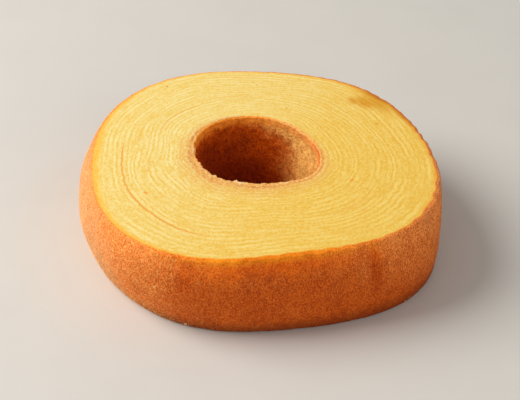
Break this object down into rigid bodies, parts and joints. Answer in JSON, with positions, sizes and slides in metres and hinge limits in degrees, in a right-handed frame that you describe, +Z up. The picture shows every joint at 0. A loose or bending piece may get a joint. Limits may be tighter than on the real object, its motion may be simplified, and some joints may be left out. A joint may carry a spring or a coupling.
{
  "type": "baumkuchen",
  "caption": "Short ring of layered roller-baked cake, lying flat, with fine baked rings on the cut face, a browned bulging side and a round hole through it.",
  "frame": {"origin": "middle of the footprint's bounding rectangle, at the level of the lower cut face that the cake rests on", "axes": "+Z up along the hole, +X to the right and +Y to the back as the picture sees it"},
  "size_m": [0.1392, 0.1322, 0.034],
  "materials": {
    "cake": "dull, moist sponge: pale yellow layered cut faces, orange-brown baked side, brown wall in the hole"
  },
  "bodies": {
    "root": {"cake_ring": "cake"}
  },
  "joints": []
}
